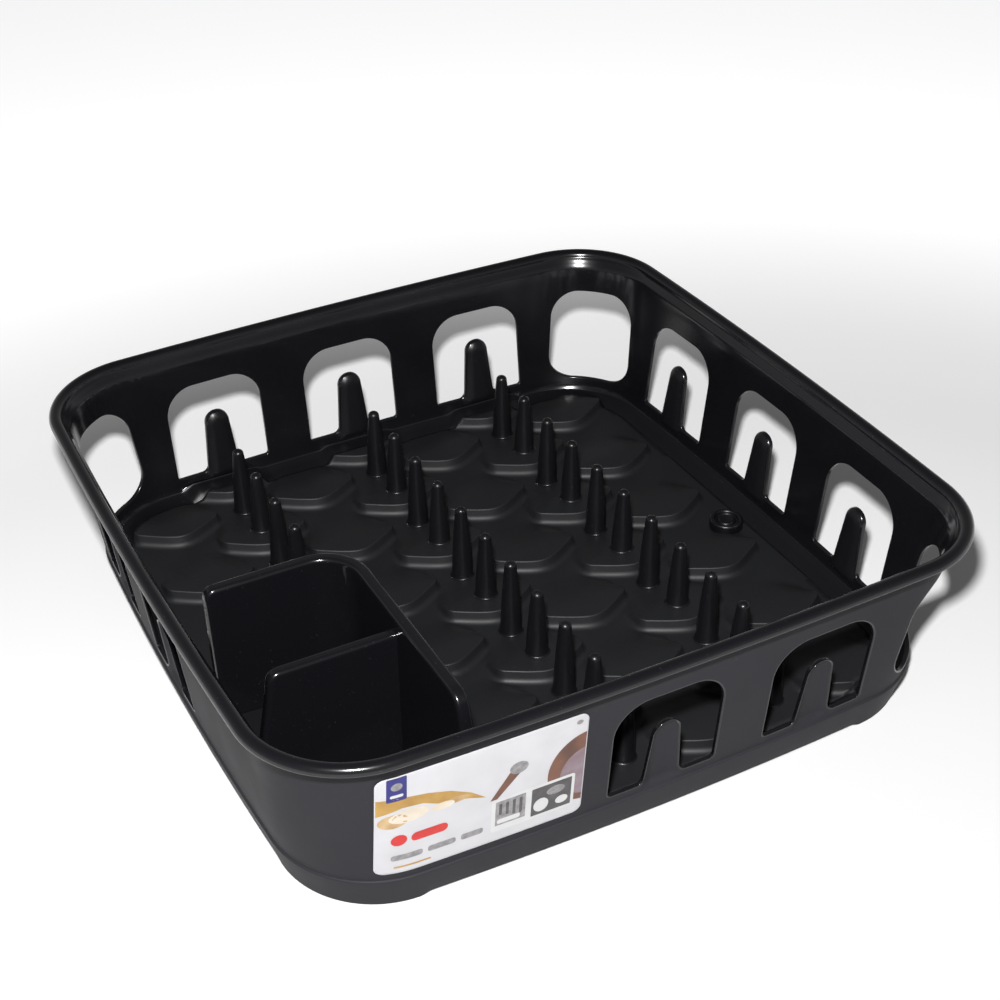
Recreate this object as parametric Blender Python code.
"""Square dish rack with a cutlery corner: one injection moulding split into its named features,
with a drain plug and a label. Metres, +Z up, +X along the front wall, +Y towards the back."""

import math

import bmesh
import bpy
from mathutils import Vector

# ---- driving dimensions ------------------------------------------------------------------------
WIDTH = 0.390  # over the rim, at the middle of each side; the rack is square
HEIGHT = 0.1067  # table to the top of the rim
WALL = 0.0025  # moulded wall thickness
GAP = 0.0003  # left between features that are one moulding on the real rack

RIM_CORNER = 0.0556  # plan radius of the rim's corners
RIM_BOW = 0.0052  # how far each long side bulges, middle against ends
RIM_DEPTH = 0.0037  # height of the turned-down lip
RIM_SKIN = 0.0016

WALL_TOP_WIDTH = 0.3756  # outer faces of the walls just under the rim
WALL_TOP_CORNER = 0.0500
WALL_TOP_BOW = 0.0052
WALL_FOOT_WIDTH = 0.3593  # outer faces of the walls at the ledge
WALL_FOOT_CORNER = 0.0530
WALL_FOOT_BOW = 0.0061

LEDGE = 0.0192  # height of the ledge line above the table
SKIRT_TOP_WIDTH = 0.3613
SKIRT_TOP_CORNER = 0.0545
SKIRT_WIDTH = 0.3532  # at the table
SKIRT_CORNER = 0.0515
SKIRT_BOW = 0.0062
FOOT_RISE = 0.0020  # the skirt's edge is lifted this much between the corner feet
FOOT_REACH = 0.1235  # the lifted edge starts this far from the middle of a side

PITCH = 0.0875  # windows and spike rows: one in the middle, one this far to each side
WINDOW_HALF = 0.0295
WINDOW_SILL = 0.0250
WINDOW_HEAD = 0.0824
WINDOW_CROWN = 0.0180  # radius of a window's top corners
WINDOW_HEEL = 0.0020  # radius of its bottom corners
TONGUE_TOP = 0.0630
TONGUE_HALF = 0.0075
TONGUE_ROOT_HALF = 0.0098
CORNER_WINDOW_WIDTH = 0.0545
CORNER_WINDOW_RADIUS = 0.0160

FLOOR_LOW = 0.0077  # top of the floor in the middle
FLOOR_DISH = 0.0038  # rise of the floor at the middle of a side
FLOOR_HALF = 0.1767  # half width of the floor pan
FLOOR_CORNER = 0.0520
FLOOR_BORDER = 0.1670  # a sloping border starts here
FLOOR_BORDER_CORNER = 0.0440
FLOOR_BORDER_TOP = 0.0165

SCALE_HEIGHT = 0.0070  # step at the front of a fish scale
SCALE_ARC = 0.0318  # plan radius of its front edge
SCALE_SKIN = 0.0006  # thickness where a scale runs out
SPIKE_STEP = 0.0583  # two spikes and one scale repeat at this distance
FIRST_EDGE = 0.0980  # front of the rearmost scale under a spike row

SPIKE_TIP = 0.0546  # all tips lie in one level plane
SPIKE_BASE_RADIUS = 0.0061
SPIKE_TIP_RADIUS = 0.0032
FIRST_SPIKE = 0.1454
SPIKES_IN_ROW = 11
SPIKES_BEHIND_SCREEN = 4

SCREEN_TOP = 0.0920
SCREEN_HALF = 0.0035  # half thickness at the top
SCREEN_FOOT_HALF = 0.0045
SCREEN_Y = -0.0230
SCREEN_X = -0.0898
SCREEN_LEFT = -0.1655
SCREEN_FRONT = -0.1505
SCREEN_BEND = 0.0230
DIVIDER_TOP = 0.0840
DIVIDER_Y = -0.0870
DIVIDER_LEFT = -0.1595
FOOT_AT_BORDER = 0.1625  # a foot this far from the middle still stands on the floor pan
FOOT_ON_BORDER = 0.1700  # the outermost foot stands on the sloping border
BORDER_LIFT = 0.0034  # and is this much higher than the pan would be there

PLUG_X = 0.1545
PLUG_Y = -0.0070
PLUG_RADIUS = 0.0098
PLUG_HEIGHT = 0.0056
PLUG_STEM = 0.0045
PLUG_BORE = 0.0050

LABEL_LEFT = -0.1466
LABEL_RIGHT = -0.0445
LABEL_LOW = 0.0245
LABEL_HIGH = 0.0900
LABEL_THICK = 0.0003

SIDES = {"front": 180, "right": 270, "back": 0, "left": 90}  # turns the +Y side onto each wall


# ---- scene, materials, mesh helpers ------------------------------------------------------------
def clear_scene():
    for obj in list(bpy.data.objects):
        bpy.data.objects.remove(obj)


def new_collection(name):
    group = bpy.data.collections.new(name)
    bpy.context.scene.collection.children.link(group)
    return group


def new_material(name, colour, roughness, metallic=0.0):
    material = bpy.data.materials.new(name)
    material.use_nodes = True
    shader = material.node_tree.nodes["Principled BSDF"]
    shader.inputs["Base Color"].default_value = (*colour, 1.0)
    shader.inputs["Roughness"].default_value = roughness
    shader.inputs["Metallic"].default_value = metallic
    return material


def add_mesh(name, points, faces, group, material=None, smooth=False):
    mesh = bpy.data.meshes.new(name)
    mesh.from_pydata([tuple(point) for point in points], [], faces)
    work = bmesh.new()
    work.from_mesh(mesh)
    bmesh.ops.triangulate(work, faces=work.faces)
    bmesh.ops.recalc_face_normals(work, faces=work.faces)
    work.to_mesh(mesh)
    work.free()
    if smooth:
        mesh.polygons.foreach_set("use_smooth", [True] * len(mesh.polygons))
    obj = bpy.data.objects.new(name, mesh)
    if material:
        mesh.materials.append(material)
    group.objects.link(obj)
    return obj


def sweep(sections, closed):
    """Skins a list of equal sections; an open sweep gets a cap at each end."""
    count = len(sections[0])
    points = [point for section in sections for point in section]
    faces = []
    spans = len(sections) if closed else len(sections) - 1
    for i in range(spans):
        j = (i + 1) % len(sections)
        for k in range(count):
            m = (k + 1) % count
            faces.append((i * count + k, j * count + k, j * count + m, i * count + m))
    if not closed:
        faces.append(tuple(range(count)))
        faces.append(tuple(range(len(points) - count, len(points))))
    return points, faces


def cut(target, cutter):
    modifier = target.modifiers.new("cut_" + cutter.name, "BOOLEAN")
    modifier.operation = "DIFFERENCE"
    modifier.solver = "EXACT"
    modifier.object = cutter


def prism(name, profile, place, group):
    """A closed prism: place(u, v, w) turns a profile point and a depth of -1 or 1 into a position."""
    sections = [[place(u, v, depth) for u, v in profile] for depth in (-1, 1)]
    points, faces = sweep(sections, False)
    return add_mesh(name, points, faces, group)


# ---- plan outlines -----------------------------------------------------------------------------
def side_radius(width, bow):
    return width * width / (8 * bow)


def corner_centre(width, corner, bow):
    """x, and also y, of a corner's centre, where its arc runs smoothly into the bowed sides."""
    half = width / 2
    big = side_radius(width, bow)
    centre = half - corner
    for _ in range(40):
        reach = math.hypot(centre - half + big, centre)
        centre -= (reach - big + corner) * reach / (2 * centre - half + big)
    return centre


def quadrant(width, corner, bow, side_steps, corner_steps):
    """Half a right side, one corner and half a back side, as tangent arcs: three lists of points."""
    half = width / 2
    big = side_radius(width, bow)
    cx = corner_centre(width, corner, bow)
    start = math.atan2(cx, cx - (half - big))
    right = [start * i / side_steps for i in range(side_steps + 1)]
    right = [(half - big + big * math.cos(a), big * math.sin(a)) for a in right]
    turn = math.pi / 2 - 2 * start
    angles = [start + turn * i / corner_steps for i in range(corner_steps + 1)]
    bend = [(cx + corner * math.cos(a), cx + corner * math.sin(a)) for a in angles]
    back = [(y, x) for x, y in reversed(right)]
    return right, bend, back


def outline_y(x, width, corner, bow):
    """How far an outline reaches along +Y at x."""
    big = side_radius(width, bow)
    centre = corner_centre(width, corner, bow)
    if abs(x) <= quadrant(width, corner, bow, 1, 1)[2][0][0]:
        return width / 2 - big + math.sqrt(big * big - x * x)
    return centre + math.sqrt(corner * corner - (abs(x) - centre) ** 2)


def turned(points, degrees):
    c = math.cos(math.radians(degrees))
    s = math.sin(math.radians(degrees))
    return [(c * x - s * y, s * x + c * y) for x, y in points]


def full_loop(width, corner, bow, side_steps=5, corner_steps=9):
    right, bend, back = quadrant(width, corner, bow, side_steps, corner_steps)
    piece = right + bend[1:] + back[1:-1]
    return [point for turn in (0, 90, 180, 270) for point in turned(piece, turn)]


def pull_ends(points, amount):
    """Moves the two end points inwards along the path, which leaves a gap to the neighbour."""
    out = [Vector(point) for point in points]
    out[0] = out[0] + (out[1] - out[0]).normalized() * amount
    out[-1] = out[-1] + (out[-2] - out[-1]).normalized() * amount
    return [tuple(point) for point in out]


def side_path(width, corner, bow, inset):
    """The back side from its right end to its left end, moved inwards by inset."""
    right, bend, back = quadrant(width - 2 * inset, corner - inset, bow, 7, 2)
    half = back + [(-x, y) for x, y in reversed(back[:-1])]
    return pull_ends(half, GAP / 2)


def corner_path(width, corner, bow, inset):
    right, bend, back = quadrant(width - 2 * inset, corner - inset, bow, 4, 12)
    return pull_ends(bend, GAP / 2)


def wall_solid(name, path, degrees, group, material):
    """A wall piece between the ledge and the rim, turned about Z."""
    foot = LEDGE + GAP
    head = HEIGHT - RIM_DEPTH - GAP
    rings = []
    for inset in (0, WALL):
        low = turned(path(WALL_FOOT_WIDTH, WALL_FOOT_CORNER, WALL_FOOT_BOW, inset), degrees)
        high = turned(path(WALL_TOP_WIDTH, WALL_TOP_CORNER, WALL_TOP_BOW, inset), degrees)
        rings.append((low, high))
    (low_out, high_out), (low_in, high_in) = rings
    sections = []
    for a, b, c, d in zip(low_out, high_out, high_in, low_in):
        sections.append([(*a, foot), (*b, head), (*c, head), (*d, foot)])
    points, faces = sweep(sections, False)
    return add_mesh(name, points, faces, group, material)


# ---- windows -----------------------------------------------------------------------------------
def arc(cx, cy, radius, start, end, steps):
    angles = [math.radians(start + (end - start) * i / steps) for i in range(steps + 1)]
    return [(cx + radius * math.cos(a), cy + radius * math.sin(a)) for a in angles]


def n_profile():
    """Window outline with the round-topped tongue standing in it, anticlockwise from the right heel."""
    heel = WINDOW_HEEL
    crown = WINDOW_CROWN
    right = arc(WINDOW_HALF - heel, WINDOW_SILL + heel, heel, -90, 0, 3)
    right += arc(WINDOW_HALF - crown, WINDOW_HEAD - crown, crown, 0, 90, 8)
    left = [(-x, z) for x, z in reversed(right)]
    tongue = arc(0, TONGUE_TOP - TONGUE_HALF, TONGUE_HALF, 180, 0, 10)
    root = [(-TONGUE_ROOT_HALF - 0.003, WINDOW_SILL), (-TONGUE_ROOT_HALF, WINDOW_SILL + 0.004)]
    return right + left + root + tongue + [(-x, z) for x, z in reversed(root)]


def corner_profile():
    half = CORNER_WINDOW_WIDTH / 2
    r = CORNER_WINDOW_RADIUS
    quarter = arc(half - r, WINDOW_SILL + r, r, -90, 0, 6) + arc(half - r, WINDOW_HEAD - r, r, 0, 90, 6)
    return quarter + [(-x, z) for x, z in reversed(quarter)]


def cut_side_windows(wall, name, degrees, slots, group):
    for slot in slots:
        def place(u, v, depth, slot=slot):
            plan = turned([(u + slot * PITCH, WIDTH / 2 - 0.012 + depth * 0.012)], degrees)[0]
            return (*plan, v)
        cut(wall, prism(f"cut_{name}_{slot + 1}", n_profile(), place, group))


def cut_corner_window(wall, name, degrees, group):
    middle = 0.163

    def place(u, v, depth):
        d = math.sqrt(0.5)
        x = middle + (depth * 0.022 + u) * d
        y = middle + (depth * 0.022 - u) * d
        return (*turned([(x, y)], degrees)[0], v)
    cut(wall, prism("cut_" + name, corner_profile(), place, group))


# ---- rim, skirt, floor -------------------------------------------------------------------------
def rim_lip(group, material):
    """A rolled edge: flat top, rounded shoulders and a thin turned-down lip outside the walls."""
    inner = (WIDTH - WALL_TOP_WIDTH) / 2 + WALL
    low = HEIGHT - RIM_DEPTH
    under = HEIGHT - RIM_SKIN
    outer_wall = (WIDTH - WALL_TOP_WIDTH) / 2
    profile = [
        (inner, low), (inner, low + 0.0020), (inner - 0.0008, HEIGHT - 0.0006), (inner - 0.0022, HEIGHT),
        (0.0022, HEIGHT), (0.0007, HEIGHT - 0.0006), (0, HEIGHT - 0.0018), (0, low),
        (RIM_SKIN, low), (RIM_SKIN, under), (outer_wall, under), (outer_wall, low),
    ]
    loops = [full_loop(WIDTH - 2 * o, RIM_CORNER - o, RIM_BOW) for o, _ in profile]
    sections = [[(*loops[k][i], profile[k][1]) for k in range(len(profile))] for i in range(len(loops[0]))]
    points, faces = sweep(sections, True)
    return add_mesh("rim_lip", points, faces, group, material)


def skirt_edge(x, y):
    """Height of the skirt's bottom edge: down at the corner feet, lifted along the sides."""
    across = min(abs(x), abs(y))
    blend = (FOOT_REACH - across) / 0.002
    return FOOT_RISE * min(max(blend, 0.0), 1.0)


def skirt_loop(width, corner, bow):
    """A full loop with extra points either side of each foot's shoulder."""
    half = width / 2
    big = side_radius(width, bow)
    extra = [FOOT_REACH - 0.002, FOOT_REACH]
    right, bend, back = quadrant(width, corner, bow, 5, 10)
    right = [point for point in right if point[1] < extra[0] - 0.004]
    right += [(half - big + math.sqrt(big * big - y * y), y) for y in extra]
    back = [(y, x) for x, y in reversed(right)]
    piece = right + bend + back[:-1]
    return [point for turn in (0, 90, 180, 270) for point in turned(piece, turn)]


def base_skirt(group, material):
    top_out = skirt_loop(SKIRT_TOP_WIDTH, SKIRT_TOP_CORNER, SKIRT_BOW)
    top_in = skirt_loop(SKIRT_TOP_WIDTH - 2 * WALL, SKIRT_TOP_CORNER - WALL, SKIRT_BOW)
    low_out = skirt_loop(SKIRT_WIDTH, SKIRT_CORNER, SKIRT_BOW)
    low_in = skirt_loop(SKIRT_WIDTH - 2 * WALL, SKIRT_CORNER - WALL, SKIRT_BOW)
    sections = []
    for a, b, c, d in zip(top_out, top_in, low_in, low_out):
        edge = skirt_edge(*d)
        sections.append([(*a, LEDGE), (*b, LEDGE), (*c, edge), (*d, edge)])
    points, faces = sweep(sections, True)
    return add_mesh("base_skirt", points, faces, group, material)


def floor_height(x, y):
    return FLOOR_LOW + FLOOR_DISH * (x * x + y * y) / 0.170 ** 2


def floor_pan(group, material, cutters):
    """Dished plate with the drain hole bored through it."""
    border = full_loop(2 * FLOOR_BORDER, FLOOR_BORDER_CORNER, SKIRT_BOW, 5, 6)
    rings = [[(x * s, y * s, floor_height(x * s, y * s)) for x, y in border] for s in (0.35, 0.7, 1)]
    top = [point for ring in rings for point in ring]
    bottom = [(x, y, z - WALL) for x, y, z in top]
    count = len(border)
    size = len(top)
    points = top + bottom + [(0, 0, FLOOR_LOW), (0, 0, FLOOR_LOW - WALL)]
    faces = []
    for i in range(count):
        j = (i + 1) % count
        for ring in range(len(rings) - 1):
            a, b = ring * count + i, ring * count + j
            faces.append((a, b, b + count, a + count))
            faces.append((size + a, size + a + count, size + b + count, size + b))
        edge = (len(rings) - 1) * count
        faces.append((edge + i, edge + j, size + edge + j, size + edge + i))
        faces.append((2 * size, j, i))
        faces.append((2 * size + 1, size + i, size + j))
    pan = add_mesh("floor_pan", points, faces, group, material)
    bore = [(PLUG_X + x, PLUG_Y + y) for x, y in arc(0, 0, PLUG_BORE, 0, 345, 23)]
    cut(pan, prism("cut_drain", bore, lambda u, v, depth: (u, v, 0.010 + depth * 0.012), cutters))
    return pan


def floor_border(group, material):
    """The slope that joins the floor to the foot of the walls."""
    start = FLOOR_BORDER + GAP
    inner = full_loop(2 * start, FLOOR_BORDER_CORNER + GAP, SKIRT_BOW, 5, 6)
    outer = full_loop(2 * FLOOR_HALF, FLOOR_CORNER, SKIRT_BOW, 5, 6)
    sections = []
    for a, b in zip(inner, outer):
        low = floor_height(*a)
        high = FLOOR_BORDER_TOP
        sections.append([(*a, low), (*b, high), (*b, high - WALL), (*a, low - WALL)])
    points, faces = sweep(sections, True)
    return add_mesh("floor_border", points, faces, group, material)


def scale_column(name, x, edges, half, flat, length, group, material):
    """Fish scales in line on one thin skin: each has a curved step in front and slopes down behind."""
    columns = 6
    rest = GAP + 0.0001
    skin = rest + SCALE_SKIN
    sections = []
    for i in range(columns + 1):
        u = half * (2 * i / columns - 1)
        curve = SCALE_ARC - math.sqrt(SCALE_ARC ** 2 - u * u)
        limit = outline_y(x + u, 2 * FLOOR_BORDER, FLOOR_BORDER_CORNER, SKIRT_BOW) - 0.0015
        top = []
        bottom = []
        for edge in edges:
            front = edge + curve
            rear = min(edge + length, limit)
            rise = floor_height(x, edge) + SCALE_HEIGHT
            top += [
                (x + u, front - 0.0003, floor_height(x + u, front) + skin), (x + u, front, rise),
                (x + u, edge + flat, rise), (x + u, rear, floor_height(x + u, rear) + skin),
            ]
            for y in (front - 0.0003, edge + flat, rear):
                bottom.append((x + u, y, floor_height(x + u, y) + rest))
        sections.append(top + bottom[::-1])
    points, faces = sweep(sections, False)
    return add_mesh(name, points, faces, group, material)


def scale_columns(group, material):
    """The scales under the spike rows, and those half a step away from them between the rows."""
    under = (("left", -1, 2), ("middle", 0, 5), ("right", 1, 5))
    for name, column, count in under:
        edges = [FIRST_EDGE - k * SPIKE_STEP for k in reversed(range(count))]
        scale_column("row_scales_" + name, column * PITCH, edges, 0.0220, 0.0255, 0.0400, group, material)
    first = FIRST_EDGE + SPIKE_STEP / 2 - 0.0015
    between = (("left", -1.5, 0, 2), ("middle_left", -0.5, 0, 6), ("middle_right", 0.5, 0, 6),
               ("right_back", 1.5, 0, 3), ("right_front", 1.5, 3, 5))
    for name, column, start, stop in between:
        edges = [first - k * SPIKE_STEP for k in reversed(range(start, stop))]
        scale_column("scales_" + name, column * PITCH, edges, 0.0214, 0.0145, 0.0300, group, material)


# ---- spikes, screen, plug, label ---------------------------------------------------------------
def spike(name, x, y, foot, group, material):
    """A tapered round spike with a domed tip."""
    steps = 12
    dome = SPIKE_TIP_RADIUS
    shoulder = SPIKE_TIP - dome
    levels = [
        (foot, SPIKE_BASE_RADIUS), (foot + 0.0012, SPIKE_BASE_RADIUS - 0.0004), (shoulder, dome),
        (shoulder + dome * 0.6, dome * 0.8), (shoulder + dome * 0.93, dome * 0.36),
    ]
    sections = [[(x + px, y + py, z) for px, py in arc(0, 0, r, 0, 330, steps - 1)] for z, r in levels]
    points, faces = sweep(sections, False)
    return add_mesh(name, points, faces, group, material, smooth=True)


def spike_rows(group, material):
    made = []
    rows = {"left": -PITCH, "middle": 0, "right": PITCH}
    for row, x in rows.items():
        for i in range(SPIKES_BEHIND_SCREEN if row == "left" else SPIKES_IN_ROW):
            y = FIRST_SPIKE - i * SPIKE_STEP / 2
            on_scale = i % 2 == 1
            reach = SPIKE_BASE_RADIUS + (0.0140 if on_scale else 0.0)
            ground = max(floor_height(x, y + reach), floor_height(x, y - reach))
            ground = max(ground, floor_height(abs(x) + 0.006, y))
            foot = ground + GAP + (SCALE_HEIGHT if on_scale else SCALE_SKIN + GAP)
            made.append(spike(f"spike_{row}_{i + 1}", x, y, foot, group, material))
    return made


def screen_path():
    """Centreline of the cutlery screen, from its free left end round the bend to its free front end."""
    bend = arc(SCREEN_X - SCREEN_BEND, SCREEN_Y - SCREEN_BEND, SCREEN_BEND, 90, 0, 7)
    return [(SCREEN_LEFT, SCREEN_Y), (-0.138, SCREEN_Y)] + bend + [
        (SCREEN_X, -0.082), (SCREEN_X, -0.118), (SCREEN_X, SCREEN_FRONT + GAP), (SCREEN_X, SCREEN_FRONT)]


def thick_strip(name, path, top, top_half, foot_half, feet, group, material):
    """An upright drafted strip along a path; feet holds the (shift along, lift) of the feet that spread."""
    sections = []
    count = len(path)
    for i, (x, y) in enumerate(path):
        before = Vector(path[max(i - 1, 0)])
        after = Vector(path[min(i + 1, count - 1)])
        along = (after - before).normalized()
        side = Vector((-along.y, along.x))
        here = Vector((x, y))
        spread, lift = feet.get(i, (0, 0))
        shift = along * spread
        section = []
        for offset, height in (
            (-foot_half, None), (-top_half, top - 0.002), (-top_half + 0.0015, top),
            (top_half - 0.0015, top), (top_half, top - 0.002), (foot_half, None),
        ):
            spot = here + side * offset + (shift if height is None else Vector((0, 0)))
            level = height if height is not None else floor_height(*spot) + 2 * GAP + lift
            section.append((spot.x, spot.y, level))
        sections.append(section)
    points, faces = sweep(sections, False)
    return add_mesh(name, points, faces, group, material)


def cutlery_walls(group, material):
    path = screen_path()
    last = len(path) - 1
    feet = {
        last - 1: (FOOT_AT_BORDER + SCREEN_FRONT + GAP, 0),
        last: (FOOT_ON_BORDER + SCREEN_FRONT, BORDER_LIFT),
    }
    screen = thick_strip("cutlery_screen", path, SCREEN_TOP, SCREEN_HALF, SCREEN_FOOT_HALF, feet,
                         group, material)
    join = SCREEN_X - SCREEN_FOOT_HALF - GAP
    path = [(DIVIDER_LEFT, DIVIDER_Y), (DIVIDER_LEFT + GAP, DIVIDER_Y), (-0.120, DIVIDER_Y),
            (join, DIVIDER_Y)]
    feet = {
        0: (-FOOT_ON_BORDER - DIVIDER_LEFT, BORDER_LIFT),
        1: (-FOOT_AT_BORDER - DIVIDER_LEFT - GAP, 0),
    }
    divider = thick_strip("cutlery_divider", path, DIVIDER_TOP, 0.0032, 0.0040, feet, group, material)
    return [screen, divider]


def drain_plug(group, material):
    """Push-in plug: round head with a ring groove and a stem through the floor."""
    ground = floor_height(PLUG_X + PLUG_RADIUS, abs(PLUG_Y) + 0.003) + GAP
    top = ground + PLUG_HEIGHT
    below = floor_height(PLUG_X, PLUG_Y) - WALL
    profile = [
        (0.0012, top - 0.0006), (0.0052, top - 0.0006), (0.0055, top - 0.0022), (0.0070, top - 0.0022),
        (0.0074, top - 0.0001), (PLUG_RADIUS - 0.0008, top), (PLUG_RADIUS - 0.0002, top - 0.0006),
        (PLUG_RADIUS, ground), (PLUG_STEM, ground), (PLUG_STEM, below - 0.0030), (0.0012, below - 0.0036),
    ]
    sections = [[(px, py, z - ground) for px, py in arc(0, 0, r, 0, 345, 23)] for r, z in profile]
    points, faces = sweep(sections, False)
    plug = add_mesh("drain_plug", points, faces, group, material, smooth=True)
    plug.location = (PLUG_X, PLUG_Y, ground)
    return plug


def front_wall_y(x, z, lift):
    """y of a point that stands lift outside the front wall, also round the start of its corners."""
    k = (z - LEDGE) / (HEIGHT - RIM_DEPTH - LEDGE)
    width = WALL_FOOT_WIDTH + (WALL_TOP_WIDTH - WALL_FOOT_WIDTH) * k + 2 * lift
    corner = WALL_FOOT_CORNER + (WALL_TOP_CORNER - WALL_FOOT_CORNER) * k + lift
    bow = WALL_FOOT_BOW + (WALL_TOP_BOW - WALL_FOOT_BOW) * k
    return -outline_y(x, width, corner, bow)


def label_strip(group, material):
    """Thin sticker that follows the front wall and the start of the front left corner."""
    steps = 14
    sections = []
    for i in range(steps + 1):
        x = LABEL_LEFT + (LABEL_RIGHT - LABEL_LEFT) * i / steps
        trim = 0.0012 if i in (0, steps) else 0.0
        low, high = LABEL_LOW + trim, LABEL_HIGH - trim
        edges = ((low, GAP), (high, GAP), (high, GAP + LABEL_THICK), (low, GAP + LABEL_THICK))
        sections.append([(x, front_wall_y(x, z, lift), z) for z, lift in edges])
    points, faces = sweep(sections, False)
    return add_mesh("label", points, faces, group, material)


def build():
    clear_scene()
    rack = new_collection("dish_rack")
    cutters = new_collection("cutters")
    cutters.hide_render = True
    gloss = new_material("black_gloss_plastic", (0.018, 0.018, 0.020), 0.22)
    satin = new_material("black_satin_plastic", (0.022, 0.022, 0.024), 0.42)
    rubber = new_material("plug_rubber", (0.014, 0.014, 0.015), 0.48)
    paper = new_material("label_paper", (0.85, 0.84, 0.80), 0.45)

    windows = {"front": (-1, 0), "right": (-1, 0, 1), "back": (-1, 0, 1), "left": (0, 1)}
    for side, degrees in SIDES.items():
        wall = wall_solid(side + "_wall", side_path, degrees, rack, gloss)
        cut_side_windows(wall, side, degrees, windows[side], cutters)
    corners = (("back_right", 0), ("back_left", 90), ("front_left", 180), ("front_right", 270))
    for name, degrees in corners:
        wall = wall_solid("corner_" + name, corner_path, degrees, rack, gloss)
        if name != "front_left":
            cut_corner_window(wall, name, degrees, cutters)
    rim_lip(rack, gloss)
    base_skirt(rack, gloss)
    floor_pan(rack, satin, cutters)
    floor_border(rack, satin)
    scale_columns(rack, satin)
    spike_rows(rack, gloss)
    cutlery_walls(rack, gloss)
    drain_plug(rack, rubber)
    label_strip(rack, paper)
    for obj in cutters.objects:
        obj.hide_render = True
        obj.display_type = "WIRE"


build()
